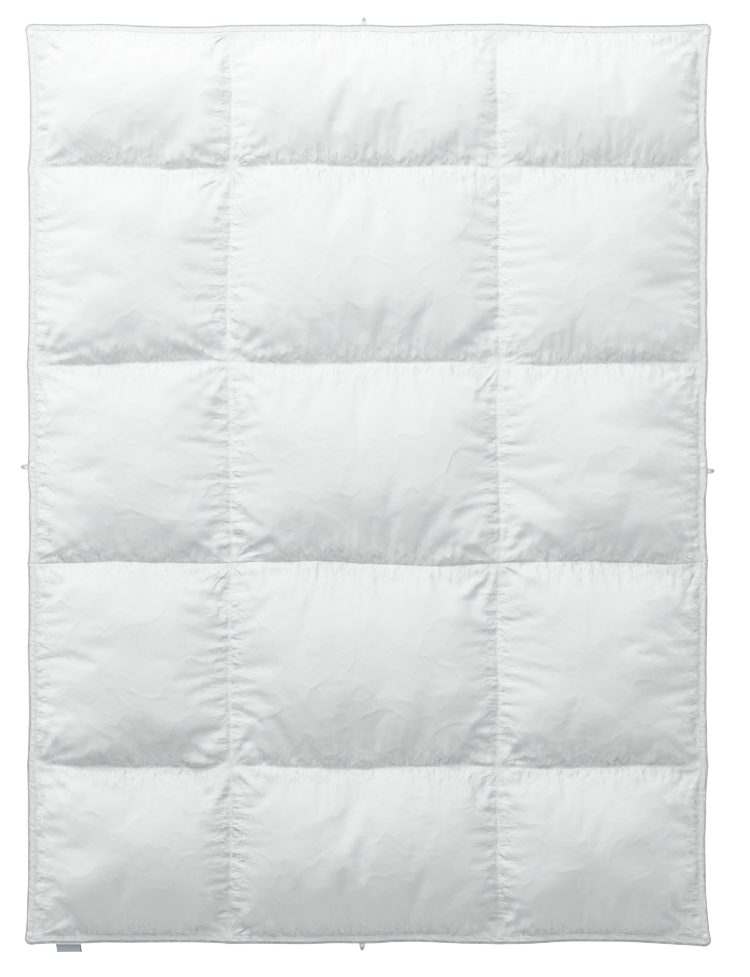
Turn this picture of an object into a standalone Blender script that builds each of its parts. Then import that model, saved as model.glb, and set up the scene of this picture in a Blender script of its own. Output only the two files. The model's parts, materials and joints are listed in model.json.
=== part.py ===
"""Down duvet with three columns and five rows of baffle-box pockets, lying flat.

Origin at the centre of the underside, +X to the right, +Y to the head end, +Z up.
The duvet is three bodies across its whole width: the head (first row), the middle
(three rows) and the foot (last row), which fold on the seams between the rows.
"""
import math

import bmesh
import bpy
from mathutils import Matrix, Vector

# Overall size
WIDTH = 1.480
LENGTH = 2.000
CROWN_HEIGHT = 0.090        # top of a full pocket over the surface it lies on
BAFFLE_HEIGHT = 0.030       # top of a stitched seam over that surface

# The seams share the width and the length out between the pockets
COLUMN_SHARES = (0.299, 0.392, 0.309)              # left to right
ROW_SHARES = (0.157, 0.2125, 0.216, 0.221, 0.1935)  # head to foot

# Walls and layers
COVER_THICKNESS = 0.0010
BAFFLE_THICKNESS = 0.0010
FILL_WALL = 0.028           # the down batt under the top cover
LAYER_GAP = 0.0003          # between layers that touch
FILL_GAP = 0.0045           # between the down and the cover over it
FILL_SIDE_GAP = 0.0040      # between the down and the middle of a seam
FILL_EDGE_INSET = 0.022     # the down stops this far inside the edge band
EDGE_RAMP = 0.150           # the seams rise to full height over this distance
PUFF_SQUARENESS = 2.4       # higher is flatter across the middle of a pocket
PUFF_STEEPNESS = 0.75       # lower is steeper beside a seam
CELLS = 8                   # facets across one pocket

# Edge: piping, flat band and its two stitched layers
PIPING_DIAMETER = 0.0050
PIPING_LIFT = 0.0007
CORNER_RADIUS = 0.0150
BAND_WIDTH = 0.0125
BAND_THICKNESS = 0.0008
BAND_INSET = 0.0003
UNDERSIDE_RAMP = 0.018      # the underside curls up to the edge over this distance
BAFFLE_END = 0.035          # a baffle stops this far inside the edge band
BAFFLE_DROP = 0.0015        # between a baffle and the underside of the cover over it
BAFFLE_SHIFT = 0.0014       # a baffle on a fold line stands on the middle's side

# Press studs that join a second duvet
STUD_DIAMETER = 0.0115
STUD_CAP_HEIGHT = 0.0020
STUD_SOCKET_DIAMETER = 0.0104
STUD_SOCKET_HEIGHT = 0.0018
STUD_CORNER_INSET = 0.0225  # from the short edges
STUD_MIDDLE_Y = 0.040
STUD_STEPS = 12

# Loops that tie the duvet into its cover
LOOP_WIDTH = 0.0160
LOOP_LENGTH = 0.0160
LOOP_CORD = 0.0044
LOOP_HEAD_X = -0.008
LOOP_FOOT_X = -0.012
LOOP_LEFT_Y = 0.037
LOOP_RIGHT_Y = 0.028
LOOP_ARC_STEPS = 8

# Label sewn under the foot edge
LABEL_WIDTH = 0.055
LABEL_LENGTH = 0.018
LABEL_THICKNESS = 0.0008
LABEL_X = -0.651
LABEL_HINGE_GAP = 0.0009

# The head and the foot fold over the tops of the pockets beside them
FOLD_CLEARANCE = 0.008

# Worked out from the sizes above
HEM_RISE = STUD_SOCKET_HEIGHT + 2 * LAYER_GAP
EDGE_TOP = HEM_RISE + 2 * COVER_THICKNESS + LAYER_GAP
EDGE_X = WIDTH / 2 - PIPING_DIAMETER - LAYER_GAP
EDGE_Y = LENGTH / 2 - PIPING_DIAMETER - LAYER_GAP
INNER_X = EDGE_X - BAND_WIDTH
INNER_Y = EDGE_Y - BAND_WIDTH
FILL_BOTTOM = COVER_THICKNESS + LAYER_GAP
CORNER_CUT = (CORNER_RADIUS - PIPING_DIAMETER - LAYER_GAP) * (1 - math.sqrt(0.5))


def seam_places(start, size, shares):
    """The seams between pockets that share a size out, from start."""
    places = []
    for share in shares[:-1]:
        start += size * share
        places.append(start)
    return places


COLUMN_EDGES = [-INNER_X, *seam_places(-WIDTH / 2, WIDTH, COLUMN_SHARES), INNER_X]
ROW_EDGES = [INNER_Y, *seam_places(LENGTH / 2, -LENGTH, ROW_SHARES), -INNER_Y]
HEAD_SEAM = ROW_EDGES[1]
FOOT_SEAM = ROW_EDGES[-2]
HEAD_HINGE = Vector((0, HEAD_SEAM, CROWN_HEIGHT + FOLD_CLEARANCE))
FOOT_HINGE = Vector((0, FOOT_SEAM, CROWN_HEIGHT + FOLD_CLEARANCE))


def facet_lines(edges, outer):
    """Facet lines from edge to edge, closer beside the seams, with the band outside."""
    lines = {-outer, outer, *edges}
    for low, high in zip(edges, edges[1:]):
        for step in range(1, CELLS):
            lines.add(low + (high - low) * (1 - math.cos(math.pi * step / CELLS)) / 2)
    return sorted(lines)


COLUMN_LINES = facet_lines(COLUMN_EDGES, EDGE_X)
ROW_LINES = facet_lines(ROW_EDGES, EDGE_Y)


def puff(value, edges):
    """0 on a seam and 1 in the middle of the pocket that holds the value."""
    for low, high in zip(sorted(edges), sorted(edges)[1:]):
        if low < value < high:
            across = abs(2 * (value - low) / (high - low) - 1)
            return (1 - across ** PUFF_SQUARENESS) ** PUFF_STEEPNESS
    return 0.0


def edge_rise(value, inner):
    """0 on the edge band and 1 from EDGE_RAMP inside it."""
    share = min(1.0, max(0.0, (inner - abs(value)) / EDGE_RAMP))
    return share * share * (3 - 2 * share)


def crown(x, y):
    """Height of the top cover on a crossing of two facet lines."""
    seam = (BAFFLE_HEIGHT - EDGE_TOP) * edge_rise(x, INNER_X) * edge_rise(y, INNER_Y)
    swell = (CROWN_HEIGHT - BAFFLE_HEIGHT) * puff(x, COLUMN_EDGES) * puff(y, ROW_EDGES)
    return EDGE_TOP + seam + swell


def facet_span(value, lines):
    """The facet lines on both sides of a value, and how far it is between them."""
    for low, high in zip(lines, lines[1:]):
        if value <= high:
            return low, high, (value - low) / (high - low)
    return lines[-2], lines[-1], 1.0


def cover_height(x, y):
    """Height of the faceted top cover anywhere."""
    west, east, across = facet_span(x, COLUMN_LINES)
    south, north, along = facet_span(y, ROW_LINES)
    low = crown(west, south) * (1 - across) + crown(east, south) * across
    high = crown(west, north) * (1 - across) + crown(east, north) * across
    return low * (1 - along) + high * along


def lines_between(lines, low, high):
    """The two ends and the facet lines that lie between them."""
    return [low, *(line for line in lines if low + 1e-6 < line < high - 1e-6), high]


# Scene, materials and small builders

def clear_scene():
    """Start from nothing."""
    for thing in list(bpy.data.objects):
        bpy.data.objects.remove(thing)


def make_material(name, color, roughness, metallic=0.0):
    """A plain Principled material for one sub-part."""
    material = bpy.data.materials.new(name)
    material.use_nodes = True
    shader = material.node_tree.nodes["Principled BSDF"]
    shader.inputs["Base Color"].default_value = (*color, 1.0)
    shader.inputs["Roughness"].default_value = roughness
    shader.inputs["Metallic"].default_value = metallic
    return material


def add_object(name, data, material, hinge=None, place=(0, 0, 0)):
    """Link a named object, with its material, under the hinge empty of its body."""
    thing = bpy.data.objects.new(name, data)
    collection.objects.link(thing)
    thing.location = place
    if material:
        data.materials.append(material)
    if hinge:
        thing.parent = hinge
        thing.matrix_parent_inverse = Matrix.Translation(-hinge.location)
    return thing


def add_hinge(name, place):
    """An empty on a fold line, which the parts of a moving body hang from."""
    return add_object(name, None, None, place=place)


def mesh_from(work, name):
    """Turn a bmesh into a mesh."""
    data = bpy.data.meshes.new(name)
    work.to_mesh(data)
    work.free()
    return data


def facet_grid(across, along):
    """A bmesh grid with its lines at the given places, and its vertices by crossing."""
    work = bmesh.new()
    bmesh.ops.create_grid(work, x_segments=len(across) - 1, y_segments=len(along) - 1, size=1)
    columns = sorted({round(vertex.co.x, 5) for vertex in work.verts})
    rows = sorted({round(vertex.co.y, 5) for vertex in work.verts})
    for vertex in work.verts:
        column = columns.index(round(vertex.co.x, 5))
        row = rows.index(round(vertex.co.y, 5))
        vertex.co = (across[column], along[row], 0)
    return work


def round_corner(vertex):
    """Pull the corner of a cover in to the inside of the rounded piping."""
    at_side = abs(abs(vertex.co.x) - EDGE_X) < LAYER_GAP
    at_end = abs(abs(vertex.co.y) - EDGE_Y) < LAYER_GAP
    if at_side and at_end:
        vertex.co.x -= math.copysign(CORNER_CUT, vertex.co.x)
        vertex.co.y -= math.copysign(CORNER_CUT, vertex.co.y)


def add_wall(thing, thickness, offset):
    """Give an open surface its thickness: -1 below it, 1 above it, 0 on both sides."""
    wall = thing.modifiers.new("wall", "SOLIDIFY")
    wall.thickness = thickness
    wall.offset = offset


# Covers, down and baffles

def add_top_cover(body, low, high, hinge=None):
    """One stretch of the quilted top cover."""
    work = facet_grid(COLUMN_LINES, lines_between(ROW_LINES, low, high))
    for vertex in work.verts:
        vertex.co.z = cover_height(vertex.co.x, vertex.co.y)
        round_corner(vertex)
    bmesh.ops.triangulate(work, faces=work.faces, quad_method="FIXED")
    name = f"top_cover_{body}"
    cover = add_object(name, mesh_from(work, name), COVER_CLOTH, hinge)
    add_wall(cover, COVER_THICKNESS, -1)


def add_bottom_cover(body, low, high, hinge=None):
    """One stretch of the flat bottom cover, which curls up to the edge seam."""
    flat_x = INNER_X - UNDERSIDE_RAMP
    flat_y = INNER_Y - UNDERSIDE_RAMP
    across = [-EDGE_X, -INNER_X, -flat_x, 0, flat_x, INNER_X, EDGE_X]
    along = lines_between([-INNER_Y, -flat_y, 0, flat_y, INNER_Y], low, high)
    work = facet_grid(across, along)
    for vertex in work.verts:
        x, y = abs(vertex.co.x), abs(vertex.co.y)
        if x > INNER_X - LAYER_GAP or y > INNER_Y - LAYER_GAP:
            vertex.co.z = HEM_RISE
        round_corner(vertex)
    bmesh.ops.triangulate(work, faces=work.faces, quad_method="FIXED")
    name = f"bottom_cover_{body}"
    cover = add_object(name, mesh_from(work, name), COVER_CLOTH, hinge)
    add_wall(cover, COVER_THICKNESS, 1)


def fill_span(low, high, inner):
    """The stretch of a pocket that the down fills: less at the edge of the duvet."""
    inset_low = FILL_EDGE_INSET if abs(low + inner) < LAYER_GAP else FILL_SIDE_GAP
    inset_high = FILL_EDGE_INSET if abs(high - inner) < LAYER_GAP else FILL_SIDE_GAP
    return low + inset_low, high - inset_high


def add_down_fill(row, column, hinge=None):
    """The down of one pocket: a batt under the top cover that arches over the middle."""
    across = lines_between(COLUMN_LINES, *fill_span(*COLUMN_EDGES[column:column + 2], INNER_X))
    along = lines_between(ROW_LINES, *fill_span(*ROW_EDGES[row:row + 2][::-1], INNER_Y))
    work = facet_grid(across, along)
    for vertex in work.verts:
        cover = cover_height(vertex.co.x, vertex.co.y)
        vertex.co.z = cover - COVER_THICKNESS - FILL_GAP
    bmesh.ops.triangulate(work, faces=work.faces, quad_method="FIXED")
    lowered = bmesh.ops.extrude_face_region(work, geom=work.faces[:])["geom"]
    for vertex in lowered:
        if isinstance(vertex, bmesh.types.BMVert):
            vertex.co.z = max(FILL_BOTTOM, vertex.co.z - FILL_WALL)
    bmesh.ops.recalc_face_normals(work, faces=work.faces)
    name = f"down_fill_{row + 1}_{column + 1}"
    add_object(name, mesh_from(work, name), DOWN, hinge)


def add_baffle(name, places, point, hinge=None):
    """A standing strip of cloth whose top edge follows the seam over it.

    places are the distances along the strip, and point gives x and y for each.
    """
    work = facet_grid(places, [0, 1])
    for vertex in work.verts:
        x, y = point(vertex.co.x)
        top = cover_height(x, y) - COVER_THICKNESS - BAFFLE_DROP
        vertex.co = (x, y, top if vertex.co.y > 0.5 else FILL_BOTTOM)
    baffle = add_object(name, mesh_from(work, name), BAFFLE_CLOTH, hinge)
    add_wall(baffle, BAFFLE_THICKNESS, 0)


def add_crosswise_baffle(number, shift=0.0):
    """The baffle along one seam across the whole width."""
    end = INNER_X - BAFFLE_END
    seam = ROW_EDGES[number]
    add_baffle(f"crosswise_baffle_{number}", lines_between(COLUMN_LINES, -end, end),
               lambda place: (place, seam + shift))


def add_lengthwise_baffle(row, column, hinge=None):
    """The baffle along one lengthwise seam, between two crosswise ones."""
    clear = BAFFLE_SHIFT + BAFFLE_THICKNESS
    high = ROW_EDGES[row] - (BAFFLE_END if row == 0 else clear)
    low = ROW_EDGES[row + 1] + (BAFFLE_END if row == len(ROW_SHARES) - 1 else clear)
    seam = COLUMN_EDGES[column]
    add_baffle(f"lengthwise_baffle_{row + 1}_{column}", lines_between(ROW_LINES, low, high),
               lambda place: (seam, place), hinge)


# Edge: piping, band, studs, loops and label

def corner_points(centre_x, centre_y, radius, start, steps=5):
    """A quarter of a circle, anticlockwise from the start angle in degrees."""
    points = []
    for step in range(steps + 1):
        angle = math.radians(start + 90 * step / steps)
        x = centre_x + radius * math.cos(angle)
        points.append((x, centre_y + radius * math.sin(angle)))
    return points


def end_run(half_x, half_y, radius, end, sign):
    """Round the head (sign 1) or the foot (sign -1) from the right side to the left."""
    right = corner_points(half_x - radius, half_y - radius, radius, 0)
    left = corner_points(radius - half_x, half_y - radius, radius, 90)
    points = [(half_x, end * sign), *right, *left, (-half_x, end * sign)]
    return [(x, y * sign) for x, y in points]


def add_tube(name, points, diameter, material, hinge=None, place=(0, 0, 0)):
    """A round cord along some points, closed at both ends."""
    data = bpy.data.curves.new(name, "CURVE")
    data.dimensions = "3D"
    data.bevel_depth = diameter / 2
    data.bevel_resolution = 2
    data.use_fill_caps = True
    spline = data.splines.new("POLY")
    spline.points.add(len(points) - 1)
    for knot, (x, y) in zip(spline.points, points):
        knot.co = (x, y, 0, 1)
    return add_object(name, data, material, hinge, place)


def add_flat(name, outline, thickness, z, material, hinge=None):
    """A flat piece cut to an outline, standing on height z."""
    data = bpy.data.curves.new(name, "CURVE")
    data.dimensions = "2D"
    data.fill_mode = "BOTH"
    data.extrude = thickness / 2
    spline = data.splines.new("POLY")
    spline.points.add(len(outline) - 1)
    for knot, (x, y) in zip(spline.points, outline):
        knot.co = (x, y, 0, 1)
    spline.use_cyclic_u = True
    add_object(name, data, material, hinge, (0, 0, z + thickness / 2))


def add_end_trim(body, seam, sign, hinge):
    """Piping and band round one short end, back to the fold seam."""
    centre = PIPING_DIAMETER / 2
    start = seam + sign * LAYER_GAP
    piping = end_run(WIDTH / 2 - centre, LENGTH / 2 - centre, CORNER_RADIUS - centre, start, sign)
    add_tube(f"piping_{body}", piping, PIPING_DIAMETER, PIPING_CORD, hinge,
             (0, 0, PIPING_LIFT + centre))
    outer_radius = CORNER_RADIUS - PIPING_DIAMETER - LAYER_GAP - BAND_INSET
    outer = end_run(EDGE_X - BAND_INSET, EDGE_Y - BAND_INSET, outer_radius, start, sign)
    inner_x = INNER_X + BAND_INSET
    inner_y = sign * (INNER_Y + BAND_INSET)
    inner = [(-inner_x, start), (-inner_x, inner_y), (inner_x, inner_y), (inner_x, start)]
    add_flat(f"edge_band_{body}", outer + inner, BAND_THICKNESS, EDGE_TOP + LAYER_GAP,
             BAND_TAPE, hinge)


def add_side_trim(side, sign):
    """Piping and band along one long edge of the middle."""
    low = FOOT_SEAM + LAYER_GAP
    high = HEAD_SEAM - LAYER_GAP
    centre = PIPING_DIAMETER / 2
    x = sign * (WIDTH / 2 - centre)
    add_tube(f"piping_{side}", [(x, low), (x, high)], PIPING_DIAMETER, PIPING_CORD,
             place=(0, 0, PIPING_LIFT + centre))
    near = sign * (INNER_X + BAND_INSET)
    far = sign * (EDGE_X - BAND_INSET)
    outline = [(near, low), (far, low), (far, high), (near, high)]
    add_flat(f"edge_band_{side}", outline[::sign], BAND_THICKNESS, EDGE_TOP + LAYER_GAP,
             BAND_TAPE)


def add_turned(name, profile, z, place, material, hinge):
    """A round piece from its profile, top to bottom, standing on height z."""
    work = bmesh.new()
    knots = [work.verts.new((radius, 0, height)) for radius, height in profile]
    for first, second in zip(knots, knots[1:]):
        work.edges.new((first, second))
    piece = add_object(name, mesh_from(work, name), material, hinge, (*place, z))
    turn = piece.modifiers.new("turn", "SCREW")
    turn.steps = STUD_STEPS
    turn.render_steps = STUD_STEPS
    turn.use_merge_vertices = True
    turn.merge_threshold = 0.0001


def add_press_stud(name, x, y, hinge=None):
    """A cap on the edge band and a socket under the bottom hem."""
    radius = STUD_DIAMETER / 2
    cap = [(0, STUD_CAP_HEIGHT), (0.60 * radius, STUD_CAP_HEIGHT),
           (0.88 * radius, 0.78 * STUD_CAP_HEIGHT), (radius, 0.40 * STUD_CAP_HEIGHT),
           (radius, 0), (0, 0)]
    band_top = EDGE_TOP + LAYER_GAP + BAND_THICKNESS
    add_turned(f"stud_cap_{name}", cap, band_top + LAYER_GAP, (x, y), STUD_PLASTIC, hinge)
    radius = STUD_SOCKET_DIAMETER / 2
    socket = [(0, STUD_SOCKET_HEIGHT), (radius, STUD_SOCKET_HEIGHT), (radius, 0),
              (0.50 * radius, 0), (0.42 * radius, 0.5 * STUD_SOCKET_HEIGHT),
              (0, 0.5 * STUD_SOCKET_HEIGHT)]
    add_turned(f"stud_socket_{name}", socket, LAYER_GAP, (x, y), STUD_PLASTIC, hinge)


def add_loop(name, x, y, outward, hinge=None):
    """A loop of cord sewn into the edge, hinged where it leaves the piping."""
    outward = Vector(outward)
    sideways = Vector((-outward.y, outward.x))
    root = (LOOP_CORD + LAYER_GAP) / 2 + LAYER_GAP
    reach = (LOOP_WIDTH - LOOP_CORD) / 2
    straight = LOOP_LENGTH - root - LOOP_WIDTH / 2
    route = [(reach, 0), *((reach * math.cos(turn), straight + reach * math.sin(turn))
                           for turn in (math.pi * step / LOOP_ARC_STEPS
                                        for step in range(LOOP_ARC_STEPS + 1))), (-reach, 0)]
    points = [sideways * side + outward * out for side, out in route]
    place = (x + outward.x * root, y + outward.y * root, LOOP_CORD / 2 + LAYER_GAP)
    add_tube(name, points, LOOP_CORD, LOOP_TAPE, hinge, place)


def add_label(hinge):
    """The woven label, hinged along its sewn edge under the foot piping."""
    work = bmesh.new()
    bmesh.ops.create_cube(work, size=1)
    bmesh.ops.scale(work, vec=(LABEL_WIDTH, LABEL_LENGTH, LABEL_THICKNESS), verts=work.verts)
    bmesh.ops.translate(work, vec=(0, -LABEL_LENGTH / 2, 0), verts=work.verts)
    place = (LABEL_X, -LENGTH / 2 - LABEL_HINGE_GAP, LABEL_THICKNESS / 2 + LAYER_GAP)
    add_object("label", mesh_from(work, "label"), LABEL_TAPE, hinge, place)


clear_scene()
collection = bpy.data.collections.new("down_duvet")
bpy.context.scene.collection.children.link(collection)

COVER_CLOTH = make_material("cover_cloth", (0.84, 0.85, 0.86), 0.80)
BAFFLE_CLOTH = make_material("baffle_cloth", (0.80, 0.81, 0.82), 0.85)
DOWN = make_material("down", (0.90, 0.89, 0.86), 0.95)
PIPING_CORD = make_material("piping_cord", (0.66, 0.67, 0.69), 0.70)
BAND_TAPE = make_material("band_tape", (0.82, 0.83, 0.84), 0.80)
STUD_PLASTIC = make_material("stud_plastic", (0.88, 0.88, 0.87), 0.35)
LOOP_TAPE = make_material("loop_tape", (0.70, 0.70, 0.71), 0.80)
LABEL_TAPE = make_material("label_tape", (0.32, 0.36, 0.42), 0.75)

head = add_hinge("head_hinge", HEAD_HINGE)
foot = add_hinge("foot_hinge", FOOT_HINGE)
hinge_of_row = [head, *[None] * (len(ROW_SHARES) - 2), foot]

half_gap = LAYER_GAP / 2
spans = {
    "head": (HEAD_SEAM + half_gap, EDGE_Y, head),
    "middle": (FOOT_SEAM + half_gap, HEAD_SEAM - half_gap, None),
    "foot": (-EDGE_Y, FOOT_SEAM - half_gap, foot),
}
for body, (low, high, hinge) in spans.items():
    add_top_cover(body, low, high, hinge)
    add_bottom_cover(body, low, high, hinge)

for row, hinge in enumerate(hinge_of_row):
    for column in range(len(COLUMN_SHARES)):
        add_down_fill(row, column, hinge)
    for column in range(1, len(COLUMN_SHARES)):
        add_lengthwise_baffle(row, column, hinge)

add_crosswise_baffle(1, -BAFFLE_SHIFT)
for number in range(2, len(ROW_SHARES) - 1):
    add_crosswise_baffle(number)
add_crosswise_baffle(len(ROW_SHARES) - 1, BAFFLE_SHIFT)

add_end_trim("head", HEAD_SEAM, 1, head)
add_end_trim("foot", FOOT_SEAM, -1, foot)
add_side_trim("left", -1)
add_side_trim("right", 1)

stud_x = (EDGE_X + INNER_X) / 2
stud_y = LENGTH / 2 - STUD_CORNER_INSET
for side, sign in (("left", -1), ("right", 1)):
    add_press_stud(f"head_{side}", sign * stud_x, stud_y, head)
    add_press_stud(f"middle_{side}", sign * stud_x, STUD_MIDDLE_Y)
    add_press_stud(f"foot_{side}", sign * stud_x, -stud_y, foot)

add_loop("loop_head", LOOP_HEAD_X, LENGTH / 2, (0, 1), head)
add_loop("loop_foot", LOOP_FOOT_X, -LENGTH / 2, (0, -1), foot)
add_loop("loop_left", -WIDTH / 2, LOOP_LEFT_Y, (-1, 0))
add_loop("loop_right", WIDTH / 2, LOOP_RIGHT_Y, (1, 0))
add_label(foot)
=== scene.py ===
"""A white down duvet lying flat: quilted cloth, piping, band, stitches, studs, loops and label.

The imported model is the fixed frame. All sizes are in metres, in its frame: +X to the
right, +Y to the head end, +Z up, with the underside on z = 0.
"""
import json
import math

import bmesh
import bpy
import numpy as np
from bpy.props import FloatProperty, FloatVectorProperty, IntProperty, PointerProperty
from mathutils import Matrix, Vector


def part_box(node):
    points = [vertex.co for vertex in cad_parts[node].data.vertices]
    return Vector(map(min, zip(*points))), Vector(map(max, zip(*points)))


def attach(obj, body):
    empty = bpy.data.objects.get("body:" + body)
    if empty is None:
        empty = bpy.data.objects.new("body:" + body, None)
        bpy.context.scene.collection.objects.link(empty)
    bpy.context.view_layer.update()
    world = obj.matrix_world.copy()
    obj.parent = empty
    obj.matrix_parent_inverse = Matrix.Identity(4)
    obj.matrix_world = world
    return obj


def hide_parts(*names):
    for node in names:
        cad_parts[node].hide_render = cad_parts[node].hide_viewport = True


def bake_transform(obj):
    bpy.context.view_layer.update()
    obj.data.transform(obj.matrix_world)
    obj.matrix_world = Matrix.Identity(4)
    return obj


bl_info = {
    "name": "Down Duvet",
    "version": (1, 0, 0),
    "blender": (4, 5, 0),
    "location": "View3D > Sidebar > Duvet",
    "description": "Builds a quilted down duvet with piped edges round its packed frame",
    "category": "Object",
}

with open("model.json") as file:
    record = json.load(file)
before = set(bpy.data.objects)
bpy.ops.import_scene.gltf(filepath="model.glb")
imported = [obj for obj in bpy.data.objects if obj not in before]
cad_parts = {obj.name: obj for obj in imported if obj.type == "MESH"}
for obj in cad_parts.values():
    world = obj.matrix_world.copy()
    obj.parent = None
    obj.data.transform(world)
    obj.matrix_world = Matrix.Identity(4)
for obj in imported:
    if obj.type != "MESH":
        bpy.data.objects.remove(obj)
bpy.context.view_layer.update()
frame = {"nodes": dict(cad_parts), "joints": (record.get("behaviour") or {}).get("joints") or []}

# Places read from the frame, between layers of cloth that lie a small gap apart
LAYER_GAP = 0.0003
EDGE_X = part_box("top_cover_middle")[1].x
EDGE_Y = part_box("top_cover_head")[1].y
INNER_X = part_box("edge_band_right")[0].x - LAYER_GAP
INNER_Y = INNER_X - EDGE_X + EDGE_Y
BAND_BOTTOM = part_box("edge_band_left")[0].z
BAND_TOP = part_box("edge_band_left")[1].z
EDGE_TOP = BAND_BOTTOM - LAYER_GAP
HEM_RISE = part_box("bottom_cover_head")[1].z - 0.0010
BAND_THICKNESS = BAND_TOP - BAND_BOTTOM
CROWN_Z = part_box("top_cover_middle")[1].z
SEAM_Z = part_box("crosswise_baffle_2")[1].z + 0.0025
PIPING_LOW, PIPING_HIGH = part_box("piping_left")
HINGES = {joint["child"]: Vector(joint["pos_m"]) for joint in frame["joints"]}


def middle_of(node, axis):
    """The middle of a node's box along one axis."""
    low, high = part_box(node)
    return (low[axis] + high[axis]) / 2


COLUMN_SEAMS = [middle_of(f"lengthwise_baffle_3_{number}", 0) for number in (1, 2)]
ROW_SEAMS = [
    HINGES["foot"].y,
    middle_of("crosswise_baffle_3", 1),
    middle_of("crosswise_baffle_2", 1),
    HINGES["head"].y,
]
SPLIT_Y = ROW_SEAMS[1]
STUD_PLACES = {(end, side): (middle_of(f"stud_cap_{end}_{side}", 0),
                             middle_of(f"stud_cap_{end}_{side}", 1))
               for end in ("head", "middle", "foot") for side in ("left", "right")}
COLUMN_EDGES = [-INNER_X, *COLUMN_SEAMS, INNER_X]
ROW_EDGES = [-INNER_Y, *ROW_SEAMS, INNER_Y]

# The two halves that the look is made in: the way each points along Y, the end that folds
# over in it, and the starts of the names of the nodes that its quilted cloth stands for
HALVES = {"headward": 1, "footward": -1}
FOLDS = {"headward": "head", "footward": "foot"}
CLOTH_NODES = {
    "headward": ("top_cover_head", "top_cover_middle", "bottom_cover_head",
                 "bottom_cover_middle", "crosswise_baffle",
                 *(f"{piece}_{row}" for piece in ("down_fill", "lengthwise_baffle")
                   for row in (1, 2, 3, 4))),
    "footward": ("top_cover_foot", "bottom_cover_foot", "down_fill_5", "lengthwise_baffle_5"),
}

# Sizes of the shapes
CORNER_RADIUS = 0.0115
EDGE_SLOPE = 0.150
SEAM_SWAY = 0.0022
LAP_HEIGHT = 0.0006
LAP_WIDTH = 0.0010
LEAST_LOFT = 0.0012
BAND_STITCH_DEPTHS = (0.0020, 0.0104)
TRIM_REACH = {"loop_head": 0.05, "loop_foot": 0.05, "loop_left": 0.05, "loop_right": 0.05,
              "label": 0.06}

# Points of the tone curve, as (light, shown)
HIGHLIGHT_CURVE = ((0.20, 0.32), (0.40, 0.64), (0.50, 0.775), (0.64, 0.885), (0.82, 0.96))

# Turned outlines of a press stud, as (radius, height)
CAP_PROFILE = [(0, 0.0018), (0.0012, 0.0018), (0.0018, 0.0020), (0.0034, 0.0019),
               (0.0047, 0.0016), (0.0054, 0.0010), (0.00575, 0.0004), (0.0055, 0), (0, 0)]
SOCKET_PROFILE = [(0, 0.0010), (0.0020, 0.0010), (0.0025, 0.0002), (0.0034, 0),
                  (0.0045, 0.0003), (0.0051, 0.0010), (0.0050, 0.0018), (0, 0.0018)]


# Settings that a user would change

class DuvetCloth(bpy.types.PropertyGroup):
    """How the quilted cloth is cut and filled."""

    step: FloatProperty(name="Grid Step", description="Size of one cell of the cloth",
                        default=0.0068, min=0.003, unit="LENGTH")
    spare: FloatProperty(name="Spare Cloth", description="Extra cloth gathered into the seams",
                         default=0.042, min=0.0, max=0.2)
    loft: FloatProperty(name="Loft", description="Pressure of the down under the cloth",
                        default=4.5, min=0.0)
    stiffness: FloatProperty(name="Bending Stiffness", description="Resistance to fine creases",
                             default=5.0, min=0.0)
    frames: IntProperty(name="Frames", description="How long the cloth settles",
                        default=26, min=1)
    wander: FloatProperty(name="Wander", description="How far seams and edges stray",
                          default=0.0022, min=0.0, unit="LENGTH")
    ears: FloatProperty(name="Corner Ears", description="How far the corners stand out",
                        default=0.0052, min=0.0, unit="LENGTH")
    draw_in: FloatProperty(name="Draw In", description="How far full pockets pull the edges in",
                           default=0.0045, min=0.0, unit="LENGTH")
    arch: FloatProperty(name="Underside Arch", description="How far seams lift off the bed",
                        default=0.0120, min=0.0, unit="LENGTH")


class DuvetTrim(bpy.types.PropertyGroup):
    """Sizes of the stitches and trims."""

    stitch: FloatProperty(name="Stitch Length", description="From one stitch to the next",
                          default=0.0036, min=0.001, unit="LENGTH")
    thread: FloatProperty(name="Thread Width", description="Width of a stitch",
                          default=0.0008, min=0.0002, unit="LENGTH")
    ripple: FloatProperty(name="Band Ripple", description="Height of the puckers in the band",
                          default=0.0013, min=0.0, unit="LENGTH")


class DuvetFinish(bpy.types.PropertyGroup):
    """Colours of the materials."""

    cover: FloatVectorProperty(name="Cover", description="Colour of the cotton cover",
                               subtype="COLOR", default=(0.812, 0.823, 0.827))
    # painted shade: the piping is the same white cotton as the cover, greyed to stand in for the
    # shade along the edge
    piping: FloatVectorProperty(name="Piping", description="Colour of the piping",
                                subtype="COLOR", default=(0.60, 0.61, 0.62))
    thread: FloatVectorProperty(name="Thread", description="Colour of the stitches",
                                subtype="COLOR", default=(0.78, 0.78, 0.78))
    loop: FloatVectorProperty(name="Loop", description="Colour of the tie loops",
                              subtype="COLOR", default=(0.72, 0.72, 0.72))
    label: FloatVectorProperty(name="Label", description="Colour of the woven label",
                               subtype="COLOR", default=(0.44, 0.49, 0.55))


class DuvetStage(bpy.types.PropertyGroup):
    """Light, floor and camera."""

    key: FloatProperty(name="Key Light", description="Power of the lamp past the head end",
                       default=98.0, min=0.0, unit="POWER")
    top: FloatProperty(name="Top Light", description="Power of the wide lamp over the head end",
                       default=100.0, min=0.0, unit="POWER")
    sky: FloatProperty(name="Sky", description="Strength of the soft light all round",
                       default=0.36, min=0.0)
    lens: FloatProperty(name="Lens", description="Focal length of the camera",
                        default=100.0, min=20.0)
    view_height: FloatProperty(name="View Height", description="Height of the picture",
                               default=2.124, min=0.1, unit="LENGTH")


# Shader maths

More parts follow.
